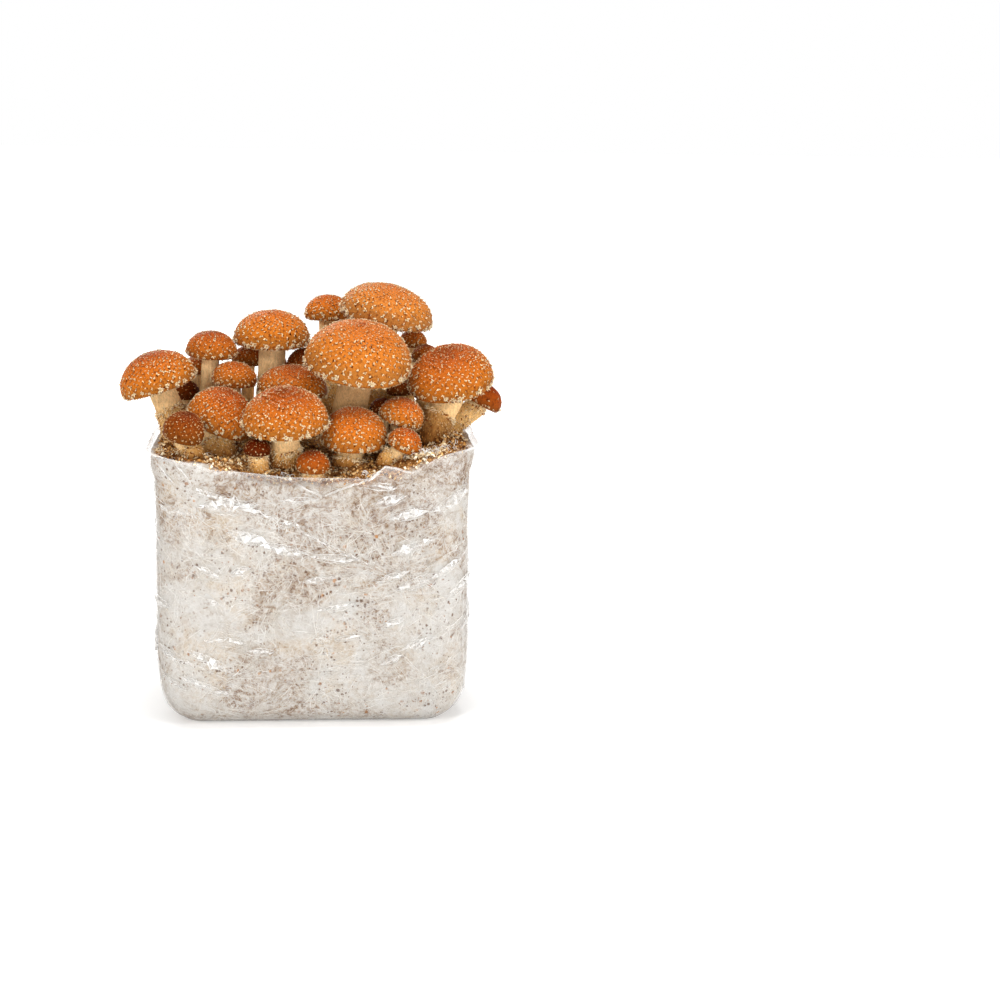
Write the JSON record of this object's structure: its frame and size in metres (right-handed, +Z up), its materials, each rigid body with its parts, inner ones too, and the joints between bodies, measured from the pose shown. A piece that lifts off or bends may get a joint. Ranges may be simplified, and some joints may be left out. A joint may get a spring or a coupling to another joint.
{
  "type": "chestnut mushroom grow kit",
  "caption": "Colonised sawdust block in an open clear film bag, with a cluster of scaly orange-brown mushrooms growing from its top.",
  "frame": {"origin": "on the ground under the middle of the kit's bounding box", "axes": "+X to the right along the bag's wide side as the picture shows it, +Y towards the back, +Z up"},
  "size_m": [0.2486, 0.161, 0.2721],
  "materials": {
    "film": "clear, crinkled",
    "mycelium": "matte, fibrous",
    "cap_skin": "matte skin with raised scales",
    "stem_flesh": "matte, fibrous"
  },
  "bodies": {
    "root": {"film_bag": "film", "substrate_block": "mycelium", "cap_01": "cap_skin", "cap_02": "cap_skin", "cap_03": "cap_skin", "cap_04": "cap_skin", "cap_05": "cap_skin", "cap_06": "cap_skin", "cap_07": "cap_skin", "cap_08": "cap_skin", "cap_09": "cap_skin", "cap_10": "cap_skin", "cap_11": "cap_skin", "cap_12": "cap_skin", "cap_13": "cap_skin", "cap_14": "cap_skin", "cap_15": "cap_skin", "cap_16": "cap_skin", "cap_17": "cap_skin", "cap_18": "cap_skin", "cap_19": "cap_skin", "cap_20": "cap_skin", "cap_21": "cap_skin", "cap_22": "cap_skin", "cap_23": "cap_skin", "cap_24": "cap_skin", "cap_25": "cap_skin", "cap_26": "cap_skin", "cap_27": "cap_skin", "cap_28": "cap_skin", "stem_01": "stem_flesh", "stem_02": "stem_flesh", "stem_03": "stem_flesh", "stem_04": "stem_flesh", "stem_05": "stem_flesh", "stem_06": "stem_flesh", "stem_07": "stem_flesh", "stem_08": "stem_flesh", "stem_09": "stem_flesh", "stem_10": "stem_flesh", "stem_11": "stem_flesh", "stem_12": "stem_flesh", "stem_13": "stem_flesh", "stem_14": "stem_flesh", "stem_15": "stem_flesh", "stem_16": "stem_flesh", "stem_17": "stem_flesh", "stem_18": "stem_flesh", "stem_19": "stem_flesh", "stem_20": "stem_flesh", "stem_21": "stem_flesh", "stem_22": "stem_flesh", "stem_23": "stem_flesh", "stem_24": "stem_flesh", "stem_25": "stem_flesh", "stem_26": "stem_flesh", "stem_27": "stem_flesh", "stem_28": "stem_flesh"}
  },
  "joints": []
}
